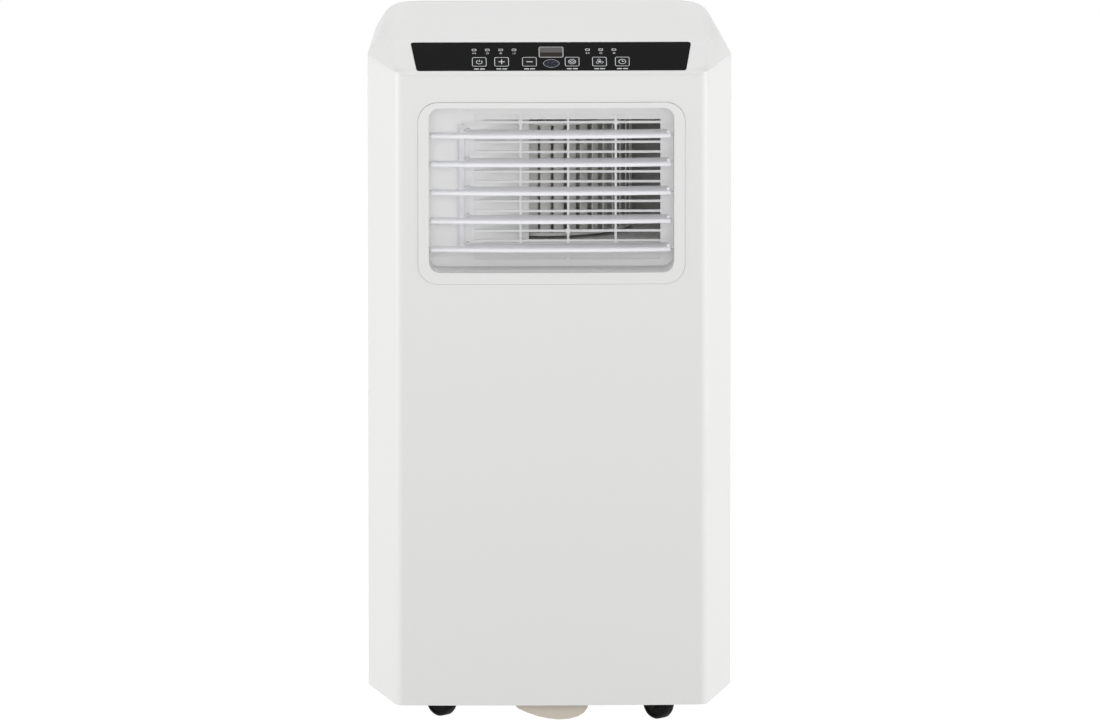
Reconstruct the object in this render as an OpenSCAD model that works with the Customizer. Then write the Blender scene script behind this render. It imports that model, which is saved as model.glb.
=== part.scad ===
// Portable air conditioner: a white cabinet of four panels and a cover on four swivel castors, with a sloping
// control panel, a louvred air outlet in front, and the coils, fans and compressor inside.
// Front is -Y, +Z is up, and the origin is on the floor below the middle of the cabinet.

/* [Cabinet] */
// Height from the floor to the flat top
cabinet_h = 700; // [698:1:704]
// Width at the widest point of the sides
cabinet_w = 368; // [366:1:374]
// Width of the flat front between its two corners
front_w = 310; // [306:1:316]
// Width across the rear corners
rear_w = 346; // [344:1:350]
// How far the middle of the front stands ahead of its corners
front_bow = 3; // [2:0.5:4]
// Thickness of the cabinet's plastic
wall = 2.5; // [2:0.5:3]
// Width of the parting lines between cabinet parts
seam = 0.5; // [0.3:0.1:0.8]

/* [Air outlet] */
// Clear width of the outlet
outlet_w = 247.3; // [245:0.1:249]
// Distance between two louvre blades
blade_pitch = 29; // [28.5:0.1:29.5]
// Length of a louvre blade along its pins
blade_l = 240; // [238:1:241]
// Depth of a louvre blade from front to rear
blade_chord = 28; // [26:0.5:28]
// How far the middle of a blade stands ahead of its ends
blade_bow = 3.5; // [2:0.5:4]
// Distance from a blade's pivot to its link pin
link_r = 11; // [10:0.5:11]
// Distance between two horizontal bars of the guard
guard_pitch = 10.07; // [9.9:0.01:10.1]

/* [Control panel] */
// Width of the dark panel along its top edge
fascia_top_w = 283; // [276:1:288]
// Width of the dark panel along its bottom edge
fascia_bottom_w = 271; // [264:1:276]
// Side of a square button
button_w = 15; // [14:0.5:15.5]

/* [Fans] */
// Radius of both fan wheels
impeller_r = 90; // [84:1:90]
// Number of blades on the upper fan wheel
upper_blades = 40; // [34:1:42]
// Number of blades on the lower fan wheel
lower_blades = 36; // [30:1:38]

/* [Castors] */
// Radius of a castor wheel
wheel_r = 16.5; // [16:0.5:17]
// Distance that a wheel trails behind its swivel
trail = 14; // [12:1:15]

/* [Hidden] */
$fn = 64;
eps = 0.01;
far = 420;

// Cabinet plan: front corners, widest point and rear corners, and the radii that round them
front_y = -165;
rear_y = 163;
widest_y = -43;
parting_y = widest_y;
side_end_y = 96;
corner_y = front_y + front_bow;
bottom_z = 27;
wall_top_z = 672;
front_r = 9;
widest_r = 30;
rear_r = 22;
raised = 0.8;

// The slope that holds the control panel rises from the front to the crease of the flat top
crease_y = -119;
slope_y = -164;
slope_z = 673;
slope_a = atan2(cabinet_h - slope_z, crease_y - slope_y);
slope_l = norm([cabinet_h - slope_z, crease_y - slope_y]);

// Air outlet
outlet_z0 = 470.6;
outlet_z1 = 638.3;
bezel_x = 134.5;
bezel_z0 = 459;
bezel_z1 = 644;
sleeve_t = 3;
sleeve_end_y = -122;
blade_y = -143;
top_blade_z = 609;
blade_zs = [for (i = [0:4]) top_blade_z - i * blade_pitch];
pin_r = 1.5;
pin_bore_r = 1.56;
slim_x = -85;
link_x = -90;
link_w = 5;
guard_x0 = -77;
guard_x1 = 113.5;
guard_z0 = 476.3;
guard_bars = 16;
guard_t = 2.4;

// Buttons, display and receiver, along the slope's own axes
button_xs = [-72.5, -50, -22, 21, 48.5, 71.5];
button_s = 18.9;
button_gap = 0.25;
display_s = 34.3;
display_w = 23.5;
display_h = 15.1;
receiver_s = 16.5;
receiver_r = 8.28;
receiver_lift = 2.13;
indicator_xs = [-77.5, -64.1, -50.7, -37.3, 36.8, 50.1, 63.4];
indicator_s = 38;

// Fan axis and the two scrolls
fan = [-5, -10];
scroll_r0 = 97;
scroll_r1 = 120;
tongue_a = 260;
scroll_t = 2.5;
upper_floor_z = 494;
upper_lid_z = 630;
lower_floor_z = 298;
lower_lid_z = 369.5;
scroll_out = 115;

// Air filter, lower grille and outlet duct at the rear
filter_x = 126;
filter_z0 = 426;
filter_z1 = 644;
grille_x = 122;
grille_z0 = 76;
grille_z1 = 250;
exhaust_x = -2;
exhaust_z = 332;
exhaust_r = 64;

// Coils
coil_y0 = 110;
coil_y1 = 146;
coil_x = 146;
condenser_z0 = 66;
condenser_z1 = 256;
evaporator_z0 = 413;
evaporator_z1 = 655;

// Base, castors and compressor
pan_floor_z = 52;
castor_x = 100;
castor_front_y = -82;
castor_rear_y = 105;
castor_rest = [[-castor_x, castor_front_y, 135], [castor_x, castor_front_y, -45],
               [-castor_x, castor_rear_y, 20], [castor_x, castor_rear_y, 160]];
axle_r = 2.5;
stem_r = 4;
compressor_at = [-5, -72];
compressor_r = 52;

// Side handles
handle_y = 30;
handle_z = 592;
handle_l = 112;
handle_h = 36;
handle_depth = 26;

// Rear openings for the mains cord and the two drains
gland_at = [128, 286];
upper_drain_at = [138, 411];
lower_drain_at = [-138, 60];
drain_r = 5;

deck_z = 400;
deck_t = 3;
proud_y = 165.8;

// ---- Plan outline ------------------------------------------------------------------------

function unit(v) = v / norm(v);

// Points that round the corner q between p and s with radius r, moved inwards by t
function corner(p, q, s, r, n, t) =
    let (a = unit(q - p), b = unit(s - q),
         na = [a.y, -a.x], nb = [b.y, -b.x],
         turn = acos(min(1, a * b)),
         c = q - (na + nb) * r / (1 + na * nb))
    [for (i = [0:n]) c + (r - t) * (na * sin((1 - i / n) * turn) + nb * sin(i / n * turn)) / sin(turn)];

// A closed counterclockwise outline from corners [x, y, radius, steps], moved inwards by t
function rounded(v, t = 0) =
    let (n = len(v), xy = [for (k = v) [k[0], k[1]]])
    [for (i = [0:n - 1]) each corner(xy[(i + n - 1) % n], xy[i], xy[(i + 1) % n], v[i][2], v[i][3], t)];

// A rounded rectangle between two corners
function rect(x0, y0, x1, y1, r, n = 5) =
    rounded([[x0, y0, r, n], [x1, y0, r, n], [x1, y1, r, n], [x0, y1, r, n]]);

// The bowed front is one very large rounded corner ahead of the two front corners
bow_y = front_y - 0.9 * front_bow;
bow_a = atan2(corner_y - bow_y, front_w / 2 + 1.5);
bow_r = 0.9 * front_bow / (1 / cos(bow_a) - 1);
half_plan = [[front_w / 2 + 1.5, corner_y, front_r, 6], [cabinet_w / 2 + 0.3, widest_y, widest_r, 6],
             [rear_w / 2, rear_y, rear_r, 8]];
plan = concat([[0, bow_y, bow_r, 16]], half_plan,
              [for (i = [2:-1:0]) [-half_plan[i][0], half_plan[i][1], half_plan[i][2], half_plan[i][3]]]);

module outline(t = 0) { polygon(rounded(plan, t)); }

module prism(z0, z1, t = 0) { translate([0, 0, z0]) linear_extrude(z1 - z0) outline(t); }

module ring(z0, z1, t0, t1) {
    translate([0, 0, z0]) linear_extrude(z1 - z0) difference() { outline(t0); outline(t1); }
}

// A flat shape drawn in x and z, standing between y0 and y1
module upright(y0, y1) { translate([0, y1, 0]) rotate([90, 0, 0]) linear_extrude(y1 - y0) children(); }

// A cylinder along y or along x
module rod_y(x, z, r, y0, y1) { translate([x, y1, z]) rotate([90, 0, 0]) cylinder(h = y1 - y0, r = r); }

module rod_x(y, z, r, x0, x1) { translate([x0, y, z]) rotate([0, 90, 0]) cylinder(h = x1 - x0, r = r); }

module block(x0, y0, z0, x1, y1, z1) { translate([x0, y0, z0]) cube([x1 - x0, y1 - y0, z1 - z0]); }

module both_sides() { children(); mirror([1, 0, 0]) children(); }

// Local axes on the slope: x across, y up the slope, z outwards
module on_slope() { translate([0, slope_y, slope_z]) rotate([slope_a, 0, 0]) children(); }

// ---- Cabinet -----------------------------------------------------------------------------

// The top cover leans inwards on its way up: its front facets are flat, its sides and its rear
// curve over into the flat top. Each lean is given at a depth d below the top.
cover_z = 674.5;
cover_h = cabinet_h - cover_z;
facet_lean = 7.1;
side_lean = 8;
side_curve = 22;
rear_lean = 1.2;
rear_curve = 7;

function facet_at(d) = facet_lean * (1 - d / cover_h);

function side_at(d) = d > 12 ? side_lean * (cover_h - d) / (cover_h - 12)
    : side_lean + side_curve * (sqrt(1 - pow(1 - 12 / side_curve, 2)) - sqrt(1 - pow(1 - d / side_curve, 2)));

function rear_at(d) = d > rear_curve ? rear_lean * (cover_h - d) / (cover_h - rear_curve)
    : rear_lean + rear_curve * (1 - sqrt(1 - pow(1 - d / rear_curve, 2)));

// Where the lines p-q and q-s meet once they are moved inwards by i and j
function meet(p, q, s, i, j) =
    let (a = unit(q - p), b = unit(s - q)) q + (i * b - j * a) / (a.x * b.y - a.y * b.x);

// Plan of the cover at depth d below the top, moved inwards by t
function level_plan(d, t) =
    let (f = [half_plan[0].x, half_plan[0].y], m = [half_plan[1].x, half_plan[1].y], r = [half_plan[2].x, rear_y],
         a = unit(m - f), y0 = crease_y - d * (crease_y - slope_y) / (cabinet_h - slope_z) - 2,
         v2 = meet(f, m, r, facet_at(d), side_at(d)), v3 = meet(m, r, [-r.x, r.y], side_at(d), rear_at(d)),
         v1 = v2 + a * (y0 - v2.y) / a.y)
    rounded([[v1.x, v1.y, 3, 3], [v2.x, v2.y, 12, 4], [v3.x, v3.y, 22, 8],
             [-v3.x, v3.y, 22, 8], [-v2.x, v2.y, 12, 4], [-v1.x, v1.y, 3, 3]], t);

module cover_body(z0, t, drop) {
    intersection() {
        hull() {
            prism(z0, cover_z - drop, t);
            for (d = [12, 7, 3.5, 1, 0.25, 0])
                translate([0, 0, cabinet_h - d - drop - 0.05]) linear_extrude(0.05) polygon(level_plan(d, t));
        }
        on_slope() translate([-far / 2, -far / 4, -far]) cube([far, far, far - (drop > 0 ? 3.4 : 0)]);
    }
}

module fascia_shape(g = 0) {
    polygon(rounded([[-fascia_bottom_w / 2 - g, 5.4 - g, 3, 4], [fascia_bottom_w / 2 + g, 5.4 - g, 3, 4],
                     [fascia_top_w / 2 + g, 50.3 + g, 3, 4], [-fascia_top_w / 2 - g, 50.3 + g, 3, 4]]));
}

module top_cover() color("#e9e9e7") {
    difference() {
        cover_body(wall_top_z + 0.05, 0, 0);
        cover_body(wall_top_z - 2, wall, 2.5);
        on_slope() {
            translate([0, 0, -1.5]) linear_extrude(5) fascia_shape(0.15);
            translate([-86, 8, -6]) cube([172, 36, 8]);
        }
    }
    difference() {
        ring(wall_top_z - 8, wall_top_z + 4, wall + 0.3, wall + 2.3);
        on_slope() translate([-far / 2, -far / 4, -3.4]) cube([far, far, far]);
    }
}

module front_shell() color("#ececea") {
    difference() {
        intersection() {
            union() {
                ring(bottom_z, wall_top_z, 0, wall);
                ring(bottom_z, bottom_z + 4, wall - eps, wall + 1.5);
            }
            block(-far / 2, -far / 2, 0, far / 2, parting_y - seam / 2, cabinet_h);
        }
        upright(-170, -150) polygon(rect(-bezel_x - 0.15, bezel_z0 - 0.15, bezel_x + 0.15, bezel_z1 + 0.15, 20, 8));
    }
    // Lips that lap inside the side panels across the parting lines
    both_sides() intersection() {
        ring(bottom_z + 6, wall_top_z - 12, wall, wall + 1.5);
        block(100, parting_y - 14, 0, far / 2, parting_y + 6, cabinet_h);
    }
}

module rear_openings() {
    upright(150, 170) {
        polygon(rect(-filter_x, filter_z0, filter_x, filter_z1, 8));
        polygon(rect(-grille_x, grille_z0, grille_x, grille_z1, 6));
    }
    rod_y(exhaust_x, exhaust_z, exhaust_r + 6.2, 150, 170);
    rod_y(gland_at[0], gland_at[1], 9.2, 150, 170);
    for (d = [upper_drain_at, lower_drain_at]) rod_y(d[0], d[1], drain_r + 2.2, 150, 170);
    for (p = screw_at) rod_y(p[0], p[1], 1.8, 145, 170);
}

module rear_shell() color("#e8e8e6") {
    difference() {
        union() {
            intersection() {
                ring(bottom_z, wall_top_z, 0, wall);
                block(-far / 2, side_end_y + seam / 2, 0, far / 2, far / 2, cabinet_h);
            }
            for (p = screw_at) rod_y(p[0], p[1], 4.5, 153, rear_y - 1);
        }
        rear_openings();
    }
    // Lips that lap inside the side panels
    both_sides() intersection() {
        ring(bottom_z + 6, wall_top_z - 12, wall, wall + 1.5);
        block(100, side_end_y - 6, 0, far / 2, side_end_y + 14, cabinet_h);
    }
}

// The right side panel, with the opening for its grip
module side_panel() difference() {
    intersection() {
        ring(bottom_z, wall_top_z, 0, wall);
        block(100, parting_y + seam / 2, 0, far / 2, side_end_y - seam / 2, cabinet_h);
    }
    handle_box(2.6, 3);
}

module side_panel_right() color("#eaeae8") side_panel();

module side_panel_left() color("#eaeae8") mirror([1, 0, 0]) side_panel();

screw_at = [for (x = [-143, 143], z = [98, 312, 560]) [x, z]];

module case_screws() color("#9a9da0") {
    for (p = screw_at) {
        rod_y(p[0], p[1], 4, rear_y, rear_y + 1.8);
        rod_y(p[0], p[1], 1.6, 151, rear_y);
    }
}

// Block of a side handle, grown by g, open towards the outside by o
module handle_box(g, o = 0) {
    block(cabinet_w / 2 - 4 - handle_depth - g, handle_y - handle_l / 2 - g, handle_z - handle_h / 2 - g,
          cabinet_w / 2 + o, handle_y + handle_l / 2 + g, handle_z + handle_h / 2 + g);
}

module side_handles() color("#dcdcda") {
    both_sides() difference() {
        intersection() { prism(500, 660); handle_box(2.4, 3); }
        handle_box(0, 3);
    }
}

// ---- Air outlet --------------------------------------------------------------------------

module outlet_shape(g = 0) {
    polygon(rect(-outlet_w / 2 - g, outlet_z0 - g, outlet_w / 2 + g, outlet_z1 + g, 11 + g, 8));
}

module outlet_bezel() color("#efefed") {
    difference() {
        intersection() {
            union() {
                difference() {
                    prism(bezel_z0 - 5, bezel_z1 + 5, -raised);
                    prism(bezel_z0 - 6, bezel_z1 + 6, 3);
                }
                upright(-168, sleeve_end_y) outlet_shape(sleeve_t);
            }
            prism(bezel_z0 - 5, bezel_z1 + 5, -raised);
            upright(-170, sleeve_end_y) polygon(rect(-bezel_x, bezel_z0, bezel_x, bezel_z1, 20, 8));
        }
        upright(-170, -100) outlet_shape();
        for (z = blade_zs) rod_x(blade_y, z, pin_bore_r, -outlet_w, outlet_w);
    }
}

module outlet_guard() color("#d9dad8") {
    upright(sleeve_end_y, sleeve_end_y + guard_t) difference() {
        polygon(rect(-128, 466, 128, 642, 6));
        for (i = [1:guard_bars - 1], x = [-78.5:48:66])
            translate([x + 1.1, guard_z0 + (i - 1) * guard_pitch + 1.15])
                square([x > 60 ? 44 : 45.8, guard_pitch - 2.3]);
    }
    upright(sleeve_end_y - 0.8, sleeve_end_y)
        for (p = [[65.5, 14], [-30.5, 14], [17.5, 3], [17.5, 0]])
            translate([p.x, guard_z0 + p.y * guard_pitch]) rotate(45) square(5.4, center = true);
}

function nose(r, n) = [for (i = [0:n]) r * [-sin(i * 180 / n), cos(i * 180 / n)]];

// Blade profile in y and z about its pivot, from the round front edge to the rear edge at y1
module blade_profile(y1) {
    polygon(concat([for (p = nose(2.3, 8)) [p.x - 9.7, p.y]], [[y1, -1.1], [y1, 1.1]]));
}

module along_x(x0, x1) { translate([x0, 0, 0]) rotate([90, 0, 90]) linear_extrude(x1 - x0) children(); }

// Sweeps a y-z profile from x0 to x1 along a wide arc that stands ahead of the pivot in the middle
module along_bow(x0, x1) {
    r = (pow(blade_l / 2, 2) + pow(blade_bow, 2)) / (2 * blade_bow);
    translate([0, r - blade_bow, 0]) rotate([0, 0, asin(x0 / r) - 90])
        rotate_extrude(angle = asin(x1 / r) - asin(x0 / r), $fn = 720) translate([r, 0]) mirror([1, 0]) children();
}

module louvre_blade(z) color("#e6e7e5") translate([0, blade_y, z]) rotate([4, 0, 0]) {
    x0 = -blade_l / 2 - 0.5;
    x1 = blade_l / 2 - 0.5;
    along_bow(slim_x, x1) blade_profile(blade_chord - 12);
    along_bow(x0, slim_x + 0.1) blade_profile(3);
    rod_x(0, 0, pin_r, x0 - 4.6, x0);
    rod_x(0, 0, pin_r, x1, x1 + 5.6);
    along_x(slim_x, slim_x + 3) translate([link_r - 3, -3]) square([6, 6]);
    rod_x(link_r, 0, pin_r, link_x - link_w / 2 - 1, slim_x);
    translate([x1 - 3, -9, 0]) cube([3, 4, 5]);
}

module louvre_link() color("#cfd0ce") {
    bar_y = blade_y + link_r * cos(4);
    dz = link_r * sin(4);
    difference() {
        block(link_x - link_w / 2, bar_y - 2, blade_zs[4] - 6, link_x + link_w / 2 - 0.3, bar_y + 2, top_blade_z + 8);
        for (z = blade_zs) rod_x(bar_y, z + dz, pin_bore_r, link_x - 10, link_x + 10);
    }
}

// ---- Control panel -----------------------------------------------------------------------

function rounded_square(x, s, w, h, r) = rect(x - w / 2, s - h / 2, x + w / 2, s + h / 2, r, 4);

module receiver_shape(g = 0) {
    translate([0, receiver_s]) intersection() {
        translate([0, -receiver_lift]) circle(r = receiver_r + g);
        translate([0, receiver_lift]) circle(r = receiver_r + g);
    }
}

module control_fascia() color("#17171a") on_slope()
    translate([0, 0, -1.5]) linear_extrude(1.7) difference() {
        fascia_shape();
        for (x = button_xs) polygon(rounded_square(x, button_s, button_w + 0.6, button_w + 0.5, 2));
        polygon(rounded_square(0, display_s, display_w + 0.1, display_h + 0.1, 1.5));
        receiver_shape(0.05);
        for (x = indicator_xs) polygon(rounded_square(x, indicator_s, 3.3, 2.1, 0.4));
    }

module display_window() color("#3a3634") on_slope()
    translate([0, 0, -1.5]) linear_extrude(1.6) polygon(rounded_square(0, display_s, display_w, display_h, 1.5));

module receiver_window() color("#20202c") on_slope()
    translate([0, 0, -1.5]) linear_extrude(1.6) receiver_shape();

module indicator_lenses() color("#c8ccd0") on_slope()
    for (x = indicator_xs)
        translate([0, 0, -1.5]) linear_extrude(1.7) polygon(rounded_square(x, indicator_s, 3.2, 2, 0.4));

module control_button(x) color("#1b1b1e") on_slope() {
    translate([0, 0, -2.2]) linear_extrude(2.7) polygon(rounded_square(x, button_s, button_w, button_w - 0.1, 2));
    translate([0, 0, -3]) linear_extrude(1.1) polygon(rounded_square(x, button_s, button_w + 2.4, button_w + 2.4, 2.5));
    translate([x, button_s, -5.8]) cylinder(h = 3, r = 2.2);
}

module control_board() color("#3d6b48") on_slope() {
    translate([-92, 5, -9.6]) cube([184, 41, 1.6]);
    for (x = button_xs) translate([x - 3, button_s - 3, -8]) cube([6, 6, 1]);
    translate([-12, display_s - 8, -8]) cube([24, 16, 4]);
    for (x = indicator_xs) translate([x - 1, indicator_s - 0.8, -8]) cube([2, 1.6, 4]);
}

// ---- Deck, coils and cooling circuit -----------------------------------------------------

module mid_deck() color("#d8d9d6") {
    difference() {
        union() {
            prism(deck_z, deck_z + deck_t, wall + 2.2);
            block(-156, coil_y0 - 6, deck_z + deck_t - eps, 156, 152, deck_z + 18);
        }
        block(-153, coil_y0 - 3.5, deck_z + deck_t, 153, 149.5, deck_z + 30);
        translate([fan.x, fan.y, deck_z - 1]) cylinder(h = 5, r = 43);
        block(-150, -150, deck_z - 1, -100, -128, deck_z + 5);
        rod_y(upper_drain_at[0], upper_drain_at[1], drain_r + 2.05, 149, 155);
    }
}

function tube_rows(z0, z1) = [for (z = [z0 + 18:25.4:z1 - 12]) z];

module fin_pack(z0, z1) {
    difference() {
        union() {
            block(-coil_x, coil_y0 + 11, z0, coil_x, coil_y1 - 11, z1);
            for (i = [0:57]) translate([-coil_x + i * (2 * coil_x - 1.2) / 57, coil_y0, z0]) cube([1.2, 36, z1 - z0]);
        }
        for (z = tube_rows(z0, z1)) rod_x(128, z, 4.85, -far / 2, far / 2);
    }
}

module evaporator_fins() color("#b9bdc0") fin_pack(evaporator_z0, evaporator_z1);

module condenser_fins() color("#b4b8bb") fin_pack(condenser_z0, condenser_z1);

module tube_run(z0, z1) {
    rows = tube_rows(z0, z1);
    for (z = rows) rod_x(128, z, 4.8, -coil_x - 1, coil_x + 1);
    for (i = [0:len(rows) - 2])
        mirror([i % 2, 0, 0]) translate([coil_x + 1, 128, rows[i] + 12.7]) rotate([90, 0, 0])
            rotate([0, 0, -90]) rotate_extrude(angle = 180) translate([12.7, 0]) circle(r = 4.8);
}

module coil_tubes() color("#b87333") {
    tube_run(evaporator_z0, evaporator_z1);
    tube_run(condenser_z0, condenser_z1);
}

module at_compressor() { translate([compressor_at.x, compressor_at.y, 0]) children(); }

module compressor() color("#26282b") at_compressor() {
    r = compressor_r;
    rotate_extrude() polygon([[0, 66], [r - 12, 66], [r, 78], [r, 205], [r - 3, 219], [r - 12, 230],
                              [r - 26, 237], [12, 239], [12, 243], [0, 243]]);
    difference() {
        translate([0, 0, 62]) linear_extrude(4.1) difference() {
            circle(r = r + 14, $fn = 96);
            for (a = [0:120:240]) rotate(a + 60) translate([r + 14, 0]) circle(r = 34);
        }
        for (a = [0:120:240]) rotate([0, 0, a]) translate([r + 5, 0, 60]) cylinder(h = 10, r = 5.05);
    }
}

module compressor_feet() color("#2a2a2a") at_compressor()
    for (a = [0:120:240]) rotate([0, 0, a]) translate([compressor_r + 5, 0, 0]) {
        translate([0, 0, pan_floor_z]) cylinder(h = 10, r = 8);
        translate([0, 0, pan_floor_z + 9]) cylinder(h = 7, r = 5);
        translate([0, 0, pan_floor_z + 15]) cylinder(h = 2, r = 7);
    }

module accumulator() color("#303236") translate([compressor_at.x - 58, compressor_at.y + 58, 0]) {
    rotate_extrude() polygon([[0, 92], [12, 92], [21, 98], [21, 196], [12, 203], [0, 203]]);
}

// A bent tube along a list of points
module tube(path, r) {
    for (i = [0:len(path) - 2]) {
        d = path[i + 1] - path[i];
        translate(path[i]) rotate([0, acos(d.z / norm(d)), atan2(d.y, d.x)]) cylinder(h = norm(d), r = r, $fn = 32);
        if (i > 0) translate(path[i]) sphere(r = r + 0.7, $fn = 32);
    }
}

module refrigerant_lines() color("#b5713a") {
    c = compressor_at;
    a = [compressor_at.x - 58, compressor_at.y + 58];
    tube([[c.x, c.y, 243.2], [c.x, c.y, 268], [c.x - 120, c.y, 268], [c.x - 120, 92, 268], [-130, 92, 200]], 4);
    tube([[a.x, a.y, 203.2], [a.x, a.y, 280], [-146, a.y, 280], [-146, a.y, 396]], 5);
    tube([[a.x, a.y, 91.8], [a.x, a.y, 78], [c.x - 42, c.y + 42, 78]], 5);
}

module electrical_box() color("#c9cbc8") {
    difference() {
        block(-58, -156, 288, 62, -128, 392);
        block(-55.5, -153.5, 290.5, 59.5, -130.5, 389.5);
    }
    translate([20, -142, 290]) cylinder(h = 80, r = 10.5);
}

// ---- Fans --------------------------------------------------------------------------------

function scroll_r(a, g) = scroll_r0 + g + (scroll_r1 - scroll_r0) * (tongue_a - a) / tongue_a;

function spiral(a0, g) =
    [for (a = [a0:-7:0.5]) fan + scroll_r(a, g) * [cos(a), sin(a)]];

// Plan of the air space of a scroll whose mouth opens at y_mouth
module scroll_space(y_mouth) {
    polygon(concat([[-76.5, y_mouth]], spiral(tongue_a, 0), [[scroll_out, fan.y - 2], [scroll_out, y_mouth]]));
}

module scroll_solid(y_mouth) {
    g = scroll_t;
    polygon(concat([[-76.5 - g, y_mouth], [-76.5 - g, y_mouth + 8]], spiral(225, g),
                   [[scroll_out + g, fan.y - 2], [scroll_out + g, y_mouth]]));
}

module at_fan(z) { translate([fan.x, fan.y, z]) children(); }

module upper_scroll() color("#eceeec") {
    y_mouth = sleeve_end_y + guard_t + 0.1;
    difference() {
        translate([0, 0, upper_floor_z - 2.5]) linear_extrude(upper_lid_z - upper_floor_z) scroll_solid(y_mouth);
        translate([0, 0, upper_floor_z]) linear_extrude(200) scroll_space(y_mouth - 1);
        at_fan(upper_floor_z - 5) cylinder(h = 20, r = 14);
    }
    // Aprons that close the space behind the guard, below the floor and under the lid
    for (z = [[466, upper_floor_z - 1], [620, upper_lid_z - 2.5]])
        block(-76.5 - scroll_t, y_mouth, z[0], scroll_out + scroll_t, y_mouth + 2, z[1]);
    for (p = [[-62, 50], [78, 60], [88, -70], [-66, -70]])
        translate([p.x, p.y, deck_z + deck_t]) cylinder(h = upper_floor_z - 2.5 - deck_z - deck_t + eps, r = 6);
}

// The lower scroll is the same shape turned about the fan axis so that it blows rearwards
module turned() { translate([2 * fan.x, 2 * fan.y, 0]) rotate([0, 0, 180]) children(); }

lower_mouth_y = 2 * fan.y - 116;

module lower_scroll() color("#d5d7d5") turned() difference() {
    translate([0, 0, lower_floor_z - 2.5]) linear_extrude(lower_lid_z - lower_floor_z + 2.5) scroll_solid(lower_mouth_y);
    translate([0, 0, lower_floor_z]) linear_extrude(200) scroll_space(lower_mouth_y - 1);
    at_fan(lower_floor_z - 5) cylinder(h = 20, r = 62);
}

module scroll_lids() color("#dfe1df") {
    translate([0, 0, upper_lid_z - 2.5]) linear_extrude(2.5) difference() {
        scroll_solid(sleeve_end_y + guard_t + 0.1);
        translate(fan) circle(r = 64);
    }
    translate([0, 0, lower_lid_z]) linear_extrude(2.5) difference() {
        translate(2 * fan) rotate(180) scroll_solid(lower_mouth_y);
        translate(fan) circle(r = 14);
    }
    for (a = [40:90:310]) at_fan(lower_lid_z + 2.4) rotate([0, 0, a])
        translate([85, 0, 0]) cylinder(h = deck_z - lower_lid_z - 2.4, r = 6);
}

module fan_motor() color("#8d9195") at_fan(0) difference() {
    rotate_extrude() polygon([[0, 380], [18, 380], [18, 384], [38, 384], [42, 388], [42, 403], [58, 403],
                              [58, 406], [42, 406], [42, 441], [38, 445], [18, 445], [18, 450], [0, 450]]);
    translate([0, 0, 370]) cylinder(h = 90, r = 4.06);
}

module fan_shaft() color("#b9bcbf") at_fan(302) cylinder(h = 312, r = 4);

module cage(z0, z1, blades, disc_top, lean) {
    r = impeller_r;
    disc_z = disc_top ? z1 - 3 : z0;
    hub_z = disc_top ? z1 - 22 : z0;
    difference() {
        union() {
            translate([0, 0, disc_z]) cylinder(h = 3, r = r);
            translate([0, 0, hub_z]) cylinder(h = 22, r = 11);
            translate([0, 0, disc_top ? z0 : z1 - 3]) difference() {
                cylinder(h = 3, r = r);
                translate([0, 0, -1]) cylinder(h = 5, r = r - 9);
            }
            for (i = [0:blades - 1]) rotate([0, 0, i * 360 / blades])
                translate([r - 4.6, 0, z0 + 1]) rotate([0, 0, -lean])
                    translate([-6, -0.6, 0]) cube([12, 1.2, z1 - z0 - 2]);
        }
        translate([0, 0, z0 - 1]) cylinder(h = z1 - z0 + 2, r = 4.02);
    }
}

module upper_impeller() color("#8c8e8e") at_fan(0) cage(497.5, 613.5, upper_blades, false, 62);

module lower_impeller() color("#7c7e80") at_fan(0) cage(306, 362, lower_blades, true, 62);

module exhaust_duct() color("#d0d2d0") {
    difference() {
        block(exhaust_x - 126, 116.5, 262, exhaust_x + 80, 158.4, 398);
        block(exhaust_x - 123.5, 119, 264.5, exhaust_x + 77.5, 156, 395.5);
        block(2 * fan.x - scroll_out, 110, lower_floor_z, 2 * fan.x + 76.5, 121, lower_lid_z);
        rod_y(exhaust_x, exhaust_z, exhaust_r - 1, 150, 170);
    }
}

module exhaust_collar() color("#e4e4e2") {
    difference() {
        union() {
            rod_y(exhaust_x, exhaust_z, exhaust_r + 6, 158.4, rear_y);
            rod_y(exhaust_x, exhaust_z, exhaust_r + 10, rear_y, proud_y);
        }
        rod_y(exhaust_x, exhaust_z, exhaust_r - 2, 150, 170);
        for (a = [30:120:270]) translate([exhaust_x, 161, exhaust_z]) rotate([0, a, 0])
            translate([exhaust_r - 8, 0, -6]) cube([10, 10, 12]);
    }
}

module lower_grille() color("#e2e2e0") upright(rear_y - 4, rear_y + 0.6) difference() {
    polygon(rect(-grille_x + 0.2, grille_z0 + 0.2, grille_x - 0.2, grille_z1 - 0.2, 6));
    for (z = [grille_z0 + 7:9:grille_z1 - 12], x = [-113:57.5:70]) translate([x, z]) square([52.5, 5]);
}

module cord_gland() color("#2b2b2d") difference() {
    union() {
        rod_y(gland_at[0], gland_at[1], 13, rear_y, proud_y);
        rod_y(gland_at[0], gland_at[1], 9, 152, rear_y + 0.1);
    }
    rod_y(gland_at[0], gland_at[1], 4.2, 140, 170);
}

module drain_spouts() color("#dadad8") {
    for (d = [upper_drain_at, lower_drain_at]) difference() {
        rod_y(d[0], d[1], drain_r + 2, 149.6, rear_y + 0.4);
        rod_y(d[0], d[1], drain_r, 140, 170);
    }
}

module drain_plug(d) color("#3a3a3c") {
    rod_y(d[0], d[1], drain_r - 0.08, 156, rear_y + 0.8);
    rod_y(d[0], d[1], drain_r + 4, rear_y + 0.75, proud_y);
    rod_y(d[0], d[1], 3, 153, 156.1);
}

module filter_frame() color("#e0e0de") upright(156, rear_y + 0.4) difference() {
    polygon(rect(-filter_x + 0.4, filter_z0 + 0.4, filter_x - 0.4, filter_z1 - 0.4, 8));
    for (z = [filter_z0 + 10:9.3:filter_z1 - 14], x = [-118:60:70]) translate([x, z]) square([55, 5.2]);
}

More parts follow.
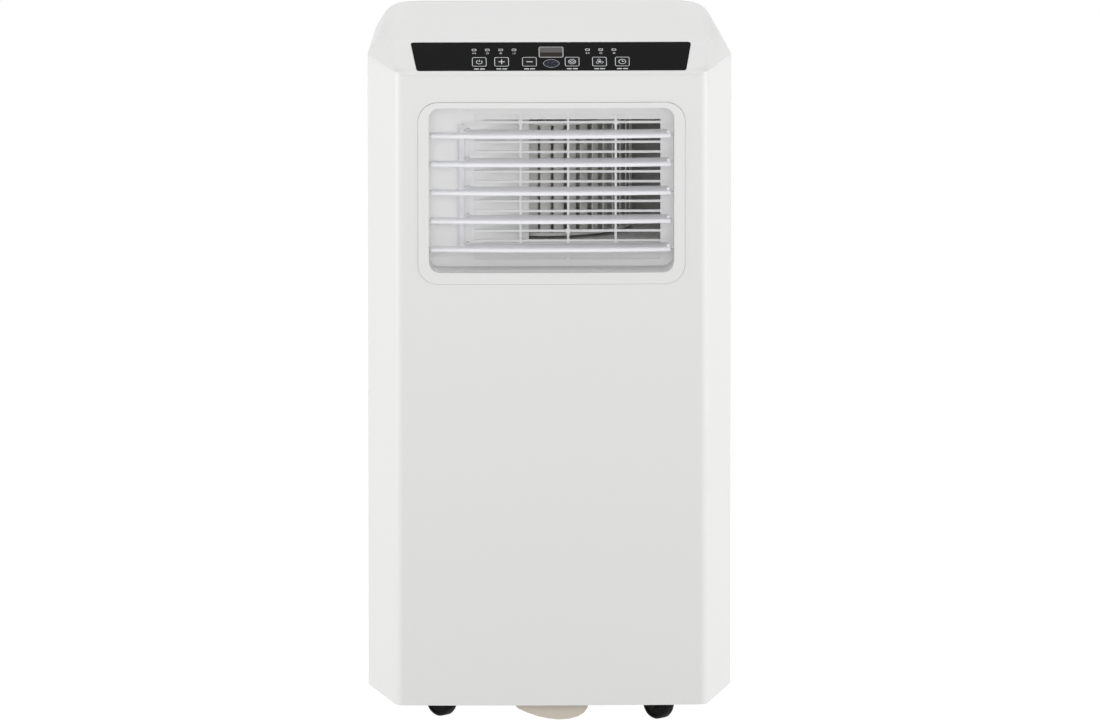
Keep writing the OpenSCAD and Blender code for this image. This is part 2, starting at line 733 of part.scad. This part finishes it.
module filter_net() color("#9aa3a8") upright(154.6, 156) difference() {
    polygon(rect(-filter_x + 3, filter_z0 + 3, filter_x - 3, filter_z1 - 3, 6));
    for (z = [filter_z0 + 9:17:filter_z1 - 20], x = [-118:20:110]) translate([x, z]) square([18.5, 15.5]);
}

// ---- Base and castors --------------------------------------------------------------------

// Corners of the drain sump's section, from left to right along its bottom
sump = [[-38.5, 26], [-33, 20.9], [-24, 16.8], [-13, 13.1], [-2, 10.7], [8, 9.8], [18, 10.5], [27, 13],
        [33, 16.6], [36.5, 21.4], [37.5, 26]];

module sump_block(g, y0, y1) {
    upright(y0, y1) polygon(concat([for (p = sump) [p.x * (1 - g / 38), p.y + g]], [[37 - g, 60], [-38 + g, 60]]));
}

module base_pan() color("#ece6da") {
    difference() {
        union() {
            prism(pan_floor_z - 4, pan_floor_z, wall + 1.7);
            ring(pan_floor_z - 4, 70, wall + 1.7, wall + 4.2);
            intersection() { sump_block(0, -150, -104); block(-50, -160, 0, 50, -100, pan_floor_z - 1); }
            for (c = castor_rest) translate([c.x, c.y, 44]) cylinder(h = 21.4, r = 9);
        }
        sump_block(2.5, -147.5, -106.5);
        for (c = castor_rest) translate([c.x, c.y, 40]) cylinder(h = 23, r = 4.06);
        rod_y(lower_drain_at[0], lower_drain_at[1], drain_r + 2.05, 140, 170);
    }
}

module at_castor(i) {
    translate([castor_rest[i].x, castor_rest[i].y, 0]) rotate([0, 0, castor_rest[i].z]) children();
}

module castor_fork(i) color("#1d1d1f") at_castor(i) {
    translate([0, 0, 43]) cylinder(h = 19, r = stem_r);
    translate([0, 0, 39.5]) cylinder(h = 4, r = 12.5);
    for (s = [-1, 1]) difference() {
        translate([0, s * 9 + 1.3, 0]) rotate([90, 0, 0]) linear_extrude(2.6) polygon(concat(
            [[-9, 40], [9.5, 40]],
            [for (a = [50:-20:-190]) [trail + 5.5 * cos(a), wheel_r + 5.5 * sin(a)]]));
        translate([trail, 20, wheel_r]) rotate([90, 0, 0]) cylinder(h = 40, r = axle_r + 0.06);
    }
}

module castor_wheel(i) color("#141416") at_castor(i) translate([trail, 0, wheel_r]) rotate([90, 0, 0]) {
    r = wheel_r;
    rotate_extrude() polygon([[0, -7.2], [5, -7.2], [5, -5.6], [r - 4, -5.6], [r - 3.4, -6.8], [r - 1, -6.4],
                              [r, -4.6], [r, 4.6], [r - 1, 6.4], [r - 3.4, 6.8], [r - 4, 5.6], [5, 5.6],
                              [5, 7.2], [0, 7.2]]);
    translate([0, 0, -10.2]) cylinder(h = 20.4, r = axle_r);
}

base_pan();
front_shell();
rear_shell();
side_panel_left();
side_panel_right();
top_cover();
side_handles();
outlet_bezel();
outlet_guard();
control_fascia();
display_window();
receiver_window();
indicator_lenses();
control_board();
mid_deck();
evaporator_fins();
condenser_fins();
coil_tubes();
compressor();
compressor_feet();
accumulator();
refrigerant_lines();
upper_scroll();
lower_scroll();
scroll_lids();
fan_motor();
exhaust_duct();
exhaust_collar();
lower_grille();
electrical_box();
cord_gland();
drain_spouts();
case_screws();
louvre_blade(blade_zs[0]);  // louvre_blade_1
louvre_blade(blade_zs[1]);  // louvre_blade_2
louvre_blade(blade_zs[2]);  // louvre_blade_3
louvre_blade(blade_zs[3]);  // louvre_blade_4
louvre_blade(blade_zs[4]);  // louvre_blade_5
louvre_link();
control_button(button_xs[0]);  // button_power
control_button(button_xs[1]);  // button_warmer
control_button(button_xs[2]);  // button_cooler
control_button(button_xs[3]);  // button_mode
control_button(button_xs[4]);  // button_speed
control_button(button_xs[5]);  // button_timer
fan_shaft();
upper_impeller();
lower_impeller();
filter_frame();
filter_net();
drain_plug(upper_drain_at);  // upper_drain_plug
drain_plug(lower_drain_at);  // lower_drain_plug
castor_fork(0);  // castor_fork_1
castor_fork(1);  // castor_fork_2
castor_fork(2);  // castor_fork_3
castor_fork(3);  // castor_fork_4
castor_wheel(0);  // castor_wheel_1
castor_wheel(1);  // castor_wheel_2
castor_wheel(2);  // castor_wheel_3
castor_wheel(3);  // castor_wheel_4
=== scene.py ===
import math

import bmesh
import bpy
from mathutils import Matrix, Vector


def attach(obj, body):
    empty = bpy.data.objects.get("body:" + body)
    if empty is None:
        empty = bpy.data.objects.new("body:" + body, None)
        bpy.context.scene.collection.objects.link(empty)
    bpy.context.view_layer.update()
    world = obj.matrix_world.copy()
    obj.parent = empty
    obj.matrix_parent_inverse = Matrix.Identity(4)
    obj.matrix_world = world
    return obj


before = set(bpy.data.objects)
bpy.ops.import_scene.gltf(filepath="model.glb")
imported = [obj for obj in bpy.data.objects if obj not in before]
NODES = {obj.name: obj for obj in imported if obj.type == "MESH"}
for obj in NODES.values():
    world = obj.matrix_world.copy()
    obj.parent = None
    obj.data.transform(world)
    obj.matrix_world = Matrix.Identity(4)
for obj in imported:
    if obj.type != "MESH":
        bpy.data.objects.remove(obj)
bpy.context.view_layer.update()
MM = 0.001

# ---- Materials ---------------------------------------------------------------------------


def material(name, color, rough, metal=0.0, coat=0.0, ior=1.46, grain=0.0, grain_mm=0.6, emit=None,
             mottle_or_glints=0.0, mottle_or_glints_mm=4.0):
    """A principled material with constant values, and procedural grain or mottling where asked for; the
    mottling is random tone on copper and painted reflections on the receiver.
    """
    m = bpy.data.materials.new(name)
    m.use_nodes = True
    nt = m.node_tree
    b = nt.nodes["Principled BSDF"]
    b.inputs["Base Color"].default_value = (*color, 1)
    b.inputs["Roughness"].default_value = rough
    b.inputs["Metallic"].default_value = metal
    b.inputs["Coat Weight"].default_value = coat
    b.inputs["Coat Roughness"].default_value = 0.08
    b.inputs["IOR"].default_value = ior
    if emit:
        b.inputs["Emission Color"].default_value = (*emit[:3], 1)
        b.inputs["Emission Strength"].default_value = emit[3]
    if grain or mottle_or_glints:
        coords = nt.nodes.new("ShaderNodeTexCoord")
    if grain:
        noise = nt.nodes.new("ShaderNodeTexNoise")
        noise.inputs["Scale"].default_value = 1000 / grain_mm
        noise.inputs["Detail"].default_value = 2
        bump = nt.nodes.new("ShaderNodeBump")
        bump.inputs["Strength"].default_value = grain
        bump.inputs["Distance"].default_value = 0.0001
        nt.links.new(coords.outputs["Object"], noise.inputs["Vector"])
        nt.links.new(noise.outputs["Fac"], bump.inputs["Height"])
        nt.links.new(bump.outputs["Normal"], b.inputs["Normal"])
    if mottle_or_glints:
        cloud = nt.nodes.new("ShaderNodeTexNoise")
        cloud.inputs["Scale"].default_value = 1000 / mottle_or_glints_mm
        cloud.inputs["Detail"].default_value = 3
        ramp = nt.nodes.new("ShaderNodeValToRGB")
        ramp.color_ramp.elements[0].position = 0.35
        ramp.color_ramp.elements[1].position = 0.65
        ramp.color_ramp.elements[0].color = (*[c * (1 - mottle_or_glints) for c in color], 1)
        ramp.color_ramp.elements[1].color = (*[min(1, c * (1 + mottle_or_glints)) for c in color], 1)
        nt.links.new(coords.outputs["Object"], cloud.inputs["Vector"])
        nt.links.new(cloud.outputs["Fac"], ramp.inputs["Fac"])
        nt.links.new(ramp.outputs["Color"], b.inputs["Base Color"])
    return m


def band_material(name, near, far, y, rough):
    """A principled material in one colour ahead of depth y of its object, and in another behind it."""
    blend = 1 * MM
    m = material(name, near, rough)
    nt = m.node_tree
    coords = nt.nodes.new("ShaderNodeTexCoord")
    split = nt.nodes.new("ShaderNodeSeparateXYZ")
    behind = nt.nodes.new("ShaderNodeMapRange")
    behind.inputs["From Min"].default_value = y - blend
    behind.inputs["From Max"].default_value = y + blend
    ramp = nt.nodes.new("ShaderNodeValToRGB")
    ramp.color_ramp.elements[0].color = (*near, 1)
    ramp.color_ramp.elements[1].color = (*far, 1)
    nt.links.new(coords.outputs["Object"], split.inputs["Vector"])
    nt.links.new(split.outputs["Y"], behind.inputs["Value"])
    nt.links.new(behind.outputs["Result"], ramp.inputs["Fac"])
    nt.links.new(ramp.outputs["Color"], nt.nodes["Principled BSDF"].inputs["Base Color"])
    return m


CABINET_WHITE = (0.66, 0.66, 0.655)
# A lighter white painted on the outlet's sleeve, as painted light inside the recess
SLEEVE_PAINTED_LIGHT = (0.76, 0.76, 0.76)
# Depth at which the outlet's bezel ends and its sleeve starts
SLEEVE_Y = -158 * MM

MATERIALS = {
    "cabinet": material("cabinet_white", CABINET_WHITE, 0.42, grain=0.05, grain_mm=0.8),
    # The sleeve is painted lighter than the bezel around its mouth, as painted light inside the outlet's
    # recess
    "bezel": band_material("bezel_white", CABINET_WHITE, SLEEVE_PAINTED_LIGHT, SLEEVE_Y, 0.42),
    "louvre": material("louvre_white", (0.76, 0.76, 0.785), 0.4, grain=0.04),
    "guard": material("guard_white", (0.9, 0.9, 0.9), 0.45),
    "housing": material("housing_white", (0.88, 0.88, 0.87), 0.5),
    "pan": material("pan_natural", (0.56, 0.51, 0.435), 0.5, grain=0.06, grain_mm=1.2),
    "inner": material("inner_grey", (0.42, 0.43, 0.425), 0.6),
    "panel": material("panel_black", (0.006, 0.006, 0.006), 0.16, ior=1.24),
    "key": material("key_black", (0.007, 0.007, 0.007), 0.22, ior=1.24),
    "print": material("print_silver", (0.52, 0.53, 0.55), 0.4),
    "print_dim": material("print_grey", (0.27, 0.28, 0.30), 0.45),
    "rim": material("rim_grey", (0.33, 0.325, 0.32), 0.4),
    "display": material("display_smoked", (0.030, 0.024, 0.022), 0.14, ior=1.3),
    "display_top": material("display_upper", (0.115, 0.11, 0.11), 0.16, ior=1.3),
    # Painted reflections: the bluish tint and strong mottling stand in for glints on the receiver's glossy
    # window
    "receiver": material("receiver_painted_reflections", (0.018, 0.018, 0.03), 0.2, ior=1.3, mottle_or_glints=0.9, mottle_or_glints_mm=2.2),
    "lens": material("lens_smoked", (0.045, 0.046, 0.052), 0.2, ior=1.35),
    "board": material("board_green", (0.03, 0.13, 0.06), 0.4),
    "fins": material("fins_aluminium", (0.62, 0.64, 0.66), 0.32, metal=1.0),
    "copper": material("tube_copper", (0.66, 0.33, 0.18), 0.3, metal=1.0, mottle_or_glints=0.12, mottle_or_glints_mm=14),
    "black_steel": material("paint_black", (0.022, 0.023, 0.025), 0.3, coat=0.3),
    "rubber": material("rubber_black", (0.022, 0.022, 0.022), 0.7, grain=0.2, grain_mm=0.8),
    "zinc": material("steel_zinc", (0.5, 0.5, 0.51), 0.35, metal=1.0),
    "steel": material("steel_ground", (0.6, 0.6, 0.61), 0.22, metal=1.0),
    "impeller_upper": material("impeller_grey", (0.72, 0.715, 0.69), 0.45),
    "impeller_lower": material("impeller_dark", (0.2, 0.2, 0.2), 0.45),
    "net": material("net_grey", (0.17, 0.2, 0.215), 0.7),
    "castor": material("castor_black", (0.005, 0.005, 0.005), 0.5, ior=1.2, grain=0.08),
    "wheel": material("wheel_black", (0.004, 0.004, 0.004), 0.55, ior=1.2, grain=0.1),
}

LOOKS = {
    "cabinet": ["front_shell", "rear_shell", "side_panel_left", "side_panel_right", "top_cover",
                "side_handles", "exhaust_collar", "lower_grille", "filter_frame"],
    "bezel": ["outlet_bezel"],
    "louvre": ["louvre_blade_%d" % i for i in range(1, 6)] + ["louvre_link"],
    "guard": ["outlet_guard"],
    "housing": ["upper_scroll", "scroll_lids"],
    "pan": ["base_pan"],
    "inner": ["mid_deck", "lower_scroll", "exhaust_duct", "drain_spouts", "electrical_box"],
    "panel": ["control_fascia"],
    "key": ["button_power", "button_warmer", "button_cooler", "button_mode", "button_speed", "button_timer"],
    "display": ["display_window"],
    "receiver": ["receiver_window"],
    "lens": ["indicator_lenses"],
    "board": ["control_board"],
    "fins": ["evaporator_fins", "condenser_fins"],
    "copper": ["coil_tubes", "refrigerant_lines"],
    "black_steel": ["compressor", "accumulator"],
    "rubber": ["compressor_feet", "cord_gland", "upper_drain_plug", "lower_drain_plug"],
    "zinc": ["fan_motor", "case_screws"],
    "steel": ["fan_shaft"],
    "impeller_upper": ["upper_impeller"],
    "impeller_lower": ["lower_impeller"],
    "net": ["filter_net"],
    "castor": ["castor_fork_%d" % i for i in range(1, 5)],
    "wheel": ["castor_wheel_%d" % i for i in range(1, 5)],
}
for look, names in LOOKS.items():
    for name in names:
        NODES[name].data.materials.clear()
        NODES[name].data.materials.append(MATERIALS[look])

# ---- Soft edges on the CAD nodes ---------------------------------------------------------


def smooth_group(degrees):
    """Geometry nodes that shade smoothly except across edges sharper than an angle."""
    g = bpy.data.node_groups.new("smooth_below_%d" % degrees, "GeometryNodeTree")
    g.interface.new_socket("Geometry", in_out="INPUT", socket_type="NodeSocketGeometry")
    g.interface.new_socket("Geometry", in_out="OUTPUT", socket_type="NodeSocketGeometry")
    start, end = g.nodes.new("NodeGroupInput"), g.nodes.new("NodeGroupOutput")
    angle = g.nodes.new("GeometryNodeInputMeshEdgeAngle")
    under = g.nodes.new("FunctionNodeCompare")
    under.data_type, under.operation = "FLOAT", "LESS_THAN"
    under.inputs[1].default_value = math.radians(degrees)
    faces, edges = g.nodes.new("GeometryNodeSetShadeSmooth"), g.nodes.new("GeometryNodeSetShadeSmooth")
    edges.domain = "EDGE"
    g.links.new(start.outputs[0], faces.inputs[0])
    g.links.new(faces.outputs[0], edges.inputs[0])
    g.links.new(angle.outputs[0], under.inputs[0])
    g.links.new(under.outputs[0], edges.inputs["Shade Smooth"])
    g.links.new(edges.outputs[0], end.inputs[0])
    return g


SMOOTH = smooth_group(32)
# The cover's facets meet at shallow creases that have to stay crisp
SMOOTH_COVER = smooth_group(14)
WELD_DISTANCE = 0.01 * MM
BEVEL_ANGLE = math.radians(40)
# Width of the rounded edge, in mm, where a node has one
BEVEL_MM = {
    "front_shell": 0.25, "side_panel_left": 0.25, "side_panel_right": 0.25, "outlet_bezel": 0.6,
    "control_fascia": 0.3, "exhaust_collar": 0.8, "base_pan": 1.2,
}


def soften(o, bevel_mm=0.0):
    """Joins the mesh's split vertices, rounds its edges a little and shades it smoothly."""
    if o.data.attributes.get("custom_normal"):
        o.data.attributes.remove(o.data.attributes["custom_normal"])
    weld = o.modifiers.new("weld", "WELD")
    weld.merge_threshold = WELD_DISTANCE
    if bevel_mm:
        bevel = o.modifiers.new("bevel", "BEVEL")
        bevel.width = bevel_mm * MM
        bevel.segments = 2
        bevel.limit_method = "ANGLE"
        bevel.angle_limit = BEVEL_ANGLE
    shade = o.modifiers.new("shade", "NODES")
    shade.node_group = SMOOTH_COVER if o == NODES["top_cover"] else SMOOTH
    if bevel_mm:
        # Large flat faces keep their own normals, so that only the rounded edges catch the light
        flat = o.modifiers.new("flat", "WEIGHTED_NORMAL")
        flat.keep_sharp = True
        flat.weight = 100


for name, o in NODES.items():
    soften(o, BEVEL_MM.get(name, 0.0))

# ---- Control panel print -----------------------------------------------------------------

# The slope's lower edge and its angle, as in the CAD
SLOPE_Y, SLOPE_Z = -164 * MM, 673 * MM
SLOPE_A = math.atan2(27, 45)
SLOPE = Matrix.Translation((0, SLOPE_Y, SLOPE_Z)) @ Matrix.Rotation(SLOPE_A, 4, "X")
# Heights above the slope's face
DISPLAY_TOP = 0.1 * MM
PANEL_TOP = 0.2 * MM
KEY_TOP = 0.5 * MM
# A print stands this far above its surface and a quarter as far inside it
PRINT_T = 0.06 * MM
STROKE = 0.68 * MM


# In the plane of the slope, x runs across the unit and s up the slope from its lower edge
def poly(x, s, n, r, a0=0.0, a1=2 * math.pi):
    """Points on a circle about (x, s), or on its arc from angle a0 to a1."""
    return [(x + r * math.cos(a0 + (a1 - a0) * i / n), s + r * math.sin(a0 + (a1 - a0) * i / n))
            for i in range(n + (0 if abs(a1 - a0 - 2 * math.pi) < 1e-6 else 1))]


def rounded_rect(x, s, w, h, r, n=5):
    """Outline of a rectangle about (x, s) with corners of radius r in n steps."""
    cx, cs = w / 2 - r, h / 2 - r
    pts = []
    for sign_x, sign_s, a in ((1, 1, 0), (-1, 1, 90), (-1, -1, 180), (1, -1, 270)):
        for i in range(n + 1):
            t = math.radians(a + 90 * i / n)
            pts.append((x + sign_x * cx + r * math.cos(t), s + sign_s * cs + r * math.sin(t)))
    return pts


class Print:
    """Thin printed shapes laid on the slope, gathered into one mesh piece."""

    def __init__(self, level):
        self.bm = bmesh.new()
        self.level = level

    def low(self, pts):
        return [self.bm.verts.new((x, s, self.level - PRINT_T / 4)) for x, s in pts]

    def high(self, pts):
        return [self.bm.verts.new((x, s, self.level + PRINT_T)) for x, s in pts]

    def face(self, pts):
        low, high = self.low(pts), self.high(pts)
        n = len(pts)
        self.bm.faces.new(high)
        self.bm.faces.new(low[::-1])
        for i in range(n):
            j = (i + 1) % n
            self.bm.faces.new((low[i], low[j], high[j], high[i]))

    def loop(self, outer, inner):
        n = len(outer)
        lo, li = self.low(outer), self.low(inner)
        ho, hi = self.high(outer), self.high(inner)
        for i in range(n):
            j = (i + 1) % n
            self.bm.faces.new((ho[i], ho[j], hi[j], hi[i]))
            self.bm.faces.new((li[i], li[j], lo[j], lo[i]))
            self.bm.faces.new((lo[i], lo[j], ho[j], ho[i]))
            self.bm.faces.new((hi[i], hi[j], li[j], li[i]))

    def frame(self, x, s, w, h, r, t):
        inner = rounded_rect(x, s, w - 2 * t, h - 2 * t, max(r - t, 0.1 * MM))
        self.loop(rounded_rect(x, s, w, h, r), inner)

    def bar(self, x, s, w, h):
        self.face(rounded_rect(x, s, w, h, min(w, h) * 0.45, 3))

    def arc(self, x, s, r, t, a0, a1, n=20):
        out = poly(x, s, n, r + t / 2, a0, a1)
        inn = poly(x, s, n, r - t / 2, a0, a1)
        self.face(out + inn[::-1])

    def circle(self, x, s, r, t, n=28):
        self.loop(poly(x, s, n, r + t / 2), poly(x, s, n, r - t / 2))

    def dot(self, x, s, r, n=16):
        self.face(poly(x, s, n, r))

    def line(self, x0, s0, x1, s1, t):
        d = Vector((x1 - x0, s1 - s0))
        k = Vector((-d.y, d.x)).normalized() * t / 2
        self.face([(x0 + k.x, s0 + k.y), (x0 - k.x, s0 - k.y), (x1 - k.x, s1 - k.y), (x1 + k.x, s1 + k.y)])

    def piece(self, name, look, body, slot):
        bmesh.ops.recalc_face_normals(self.bm, faces=self.bm.faces)
        self.bm.transform(SLOPE)
        mesh = bpy.data.meshes.new(name)
        self.bm.to_mesh(mesh)
        self.bm.free()
        o = bpy.data.objects.new(name, mesh)
        bpy.context.scene.collection.objects.link(o)
        mesh.materials.append(MATERIALS[look])
        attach(o, body)


KEY_S = 18.9 * MM
KEY_W, KEY_H, KEY_CORNER = 14.6 * MM, 14.5 * MM, 1.9 * MM
# Middle of each key across the unit, in mm
KEYS = {"power": -72.5, "warmer": -50, "cooler": -22, "mode": 21, "speed": 48.5, "timer": 71.5}


def icon_power(p, x, s):
    gap = math.radians(38)
    p.arc(x, s - 0.3 * MM, 2.9 * MM, STROKE, math.pi / 2 + gap, math.pi * 2.5 - gap)
    p.bar(x, s + 1.5 * MM, STROKE, 3.6 * MM)


def icon_plus(p, x, s):
    p.bar(x, s, 6.4 * MM, 1.0 * MM)
    half = 0.5 * MM
    for s0, s1 in ((s + half, s + 3.6 * MM), (s - 3.6 * MM, s - half)):
        p.face([(x - half, s0), (x + half, s0), (x + half, s1), (x - half, s1)])


def icon_minus(p, x, s):
    p.bar(x, s, 6.4 * MM, 1.1 * MM)


def icon_mode(p, x, s):
    p.circle(x, s, 3.5 * MM, STROKE)
    p.circle(x, s, 1.5 * MM, STROKE * 0.9)
    for side in (-1, 1):
        p.bar(x + side * 2.45 * MM, s, 1.2 * MM, 0.6 * MM)


def icon_fan(p, x, s):
    p.dot(x, s, 0.8 * MM)
    for k in range(3):
        a = math.radians(100 + 120 * k)
        cx, cs = x + 2.5 * MM * math.cos(a), s + 2.5 * MM * math.sin(a)
        p.circle(cx, cs, 1.45 * MM, STROKE * 0.8, 18)


def icon_clock(p, x, s):
    p.circle(x, s, 3.5 * MM, STROKE)
    p.line(x, s - 0.2 * MM, x, s + 2.4 * MM, 0.6 * MM)
    p.line(x - 0.1 * MM, s, x + 1.9 * MM, s, 0.6 * MM)


ICONS = {
    "power": icon_power, "warmer": icon_plus, "cooler": icon_minus,
    "mode": icon_mode, "speed": icon_fan, "timer": icon_clock,
}
for key, x in KEYS.items():
    p = Print(KEY_TOP)
    p.frame(x * MM, KEY_S, KEY_W, KEY_H, KEY_CORNER, 0.62 * MM)
    ICONS[key](p, x * MM, KEY_S)
    p.piece("key_print_" + key, "print", "key_" + key, "indicator_lens")

# Two short plain bars under each key
UNDERLINE_S = 8.1 * MM
p = Print(PANEL_TOP)
for x in KEYS.values():
    for side in (-1, 1):
        p.bar((x + side * 3.0) * MM, UNDERLINE_S, 5.2 * MM, 1.5 * MM)
p.piece("key_underlines", "print", "cabinet", "indicator_lens")

# Rim of the display and its lighter upper half
DISPLAY_S = 34.3 * MM
p = Print(PANEL_TOP)
p.frame(0, DISPLAY_S, 25.0 * MM, 17.0 * MM, 2.0 * MM, 1.0 * MM)
p.piece("display_rim", "rim", "cabinet", "indicator_lens")
HALF_W, HALF_S0, HALF_S1, HALF_CUT_X, HALF_CUT_S = 11.2 * MM, 34.0 * MM, 41.5 * MM, 0.8 * MM, 0.5 * MM
right_side = [(HALF_W, HALF_S0), (HALF_W, HALF_S1 - HALF_CUT_S), (HALF_W - HALF_CUT_X, HALF_S1)]
p = Print(DISPLAY_TOP)
p.face([(-HALF_W, HALF_S0)] + right_side + [(-x, s) for x, s in right_side[:0:-1]])
p.piece("display_upper_half", "display_top", "cabinet", "display_lens")

# Rims of the indicators and one small mark below each
INDICATOR_X = [x * MM for x in (-77.5, -64.1, -50.7, -37.3, 36.8, 50.1, 63.4)]
INDICATOR_S = 38.0 * MM
MARK_S = 32.7 * MM
MARK_R, MARK_STROKE = 1.3 * MM, 0.6 * MM
rims, marks = Print(PANEL_TOP), Print(PANEL_TOP)
for i, x in enumerate(INDICATOR_X):
    rims.frame(x, INDICATOR_S, 4.5 * MM, 3.4 * MM, 0.9 * MM, 0.6 * MM)
    if i % 4 == 0:
        for side in (-1, 1):
            marks.bar(x + side * 1.1 * MM, MARK_S, 1.4 * MM, 2.2 * MM)
    elif i % 4 == 1:
        marks.circle(x, MARK_S, 1.2 * MM, MARK_STROKE, 14)
    elif i % 4 == 2:
        marks.dot(x, MARK_S, MARK_R)
    else:
        marks.arc(x, MARK_S, MARK_R, MARK_STROKE, math.radians(-200), math.radians(70), 12)
rims.piece("indicator_rims", "print", "cabinet", "indicator_lens")
marks.piece("indicator_marks", "print_dim", "cabinet", "indicator_lens")

# Thin rim of the receiver window
RECEIVER_S = 16.5 * MM
LENS_LIFT = 2.13 * MM
RIM_OUTER_R, RIM_INNER_R = 8.7 * MM, 8.2 * MM


def lens_outline(r, n=16):
    """Outline of the overlap of two discs of radius r, one moved up the slope and one down."""
    half = math.acos(LENS_LIFT / r)
    angles = [half * (1 - 2 * i / n) for i in range(n + 1)]
    top = [(r * math.sin(a), -LENS_LIFT + r * math.cos(a)) for a in angles]
    return [(x, RECEIVER_S + y) for x, y in top] + [(-x, RECEIVER_S - y) for x, y in top[1:-1]]


p = Print(PANEL_TOP)
p.loop(lens_outline(RIM_OUTER_R), lens_outline(RIM_INNER_R))
p.piece("receiver_rim", "print_dim", "cabinet", "receiver_lens")

# ---- Floor, light and camera -------------------------------------------------------------


def plane(name, size):
    """A square of the given size on the ground, about the origin."""
    mesh = bpy.data.meshes.new(name)
    h = size / 2
    mesh.from_pydata([(-h, -h, 0), (h, -h, 0), (h, h, 0), (-h, h, 0)], [], [(0, 1, 2, 3)])
    o = bpy.data.objects.new(name, mesh)
    bpy.context.scene.collection.objects.link(o)
    return o


# A floor that glows by itself stays an even white, with little shadow on it
FLOOR_GLOW = (1, 1, 1, 0.96)
floor = plane("floor", 60)
floor.data.materials.append(material("floor_white", (0.16, 0.16, 0.16), 0.9, ior=1.01, emit=FLOOR_GLOW))

world = bpy.data.worlds.new("studio")
bpy.context.scene.world = world
world.use_nodes = True
sky = world.node_tree.nodes["Background"]
sky.inputs["Color"].default_value = (1, 1, 1, 1)
sky.inputs["Strength"].default_value = 0.3


def softbox(name, at, aim, size, power):
    """A rectangular light at a place, turned to a point, with its size in m and its power in W."""
    light = bpy.data.lights.new(name, "AREA")
    light.shape = "RECTANGLE"
    light.size, light.size_y = size
    light.energy = power
    o = bpy.data.objects.new(name, light)
    o.location = at
    o.rotation_euler = (Vector(aim) - Vector(at)).to_track_quat("-Z", "Y").to_euler()
    bpy.context.scene.collection.objects.link(o)


TARGET = Vector((0, 0, 0.35))
softbox("key_left", (-0.9, -1.2, 1.9), TARGET, (0.8, 0.8), 5)
softbox("key_right", (0.9, -1.2, 1.9), TARGET, (0.8, 0.8), 3)
softbox("front_light", (0, -2.6, 1.1), (0, 0, 0.5), (1.3, 0.9), 16)
softbox("left_light", (-2.2, -0.3, 0.9), TARGET, (1.2, 1.2), 22)
softbox("right_light", (2.2, -0.3, 0.9), TARGET, (1.2, 1.2), 24)
softbox("rear_light", (0, 1.3, 2.3), TARGET, (1.4, 0.6), 38)

cam_data = bpy.data.cameras.new("camera")
cam_data.sensor_width = 36
# A long lens from far away, as the object's edges hardly converge
cam_data.lens = 643.7
cam_data.clip_start, cam_data.clip_end = 0.1, 100
cam = bpy.data.objects.new("camera", cam_data)
bpy.context.scene.collection.objects.link(cam)
bpy.context.scene.camera = cam
ELEV, AZ, DIST = math.radians(9.65), math.radians(-1.0), 20.0
back = Vector((math.sin(AZ) * math.cos(ELEV), -math.cos(AZ) * math.cos(ELEV), math.sin(ELEV)))
# The view's centre is a touch above the object's middle, and right of it
centre = TARGET + Vector((1.3 * MM, 0, 3.4 * MM))
cam.location = centre + back * DIST
cam.rotation_mode = "QUATERNION"
cam.rotation_quaternion = (-back).to_track_quat("-Z", "Y")

bpy.context.scene.view_settings.view_transform = "Standard"
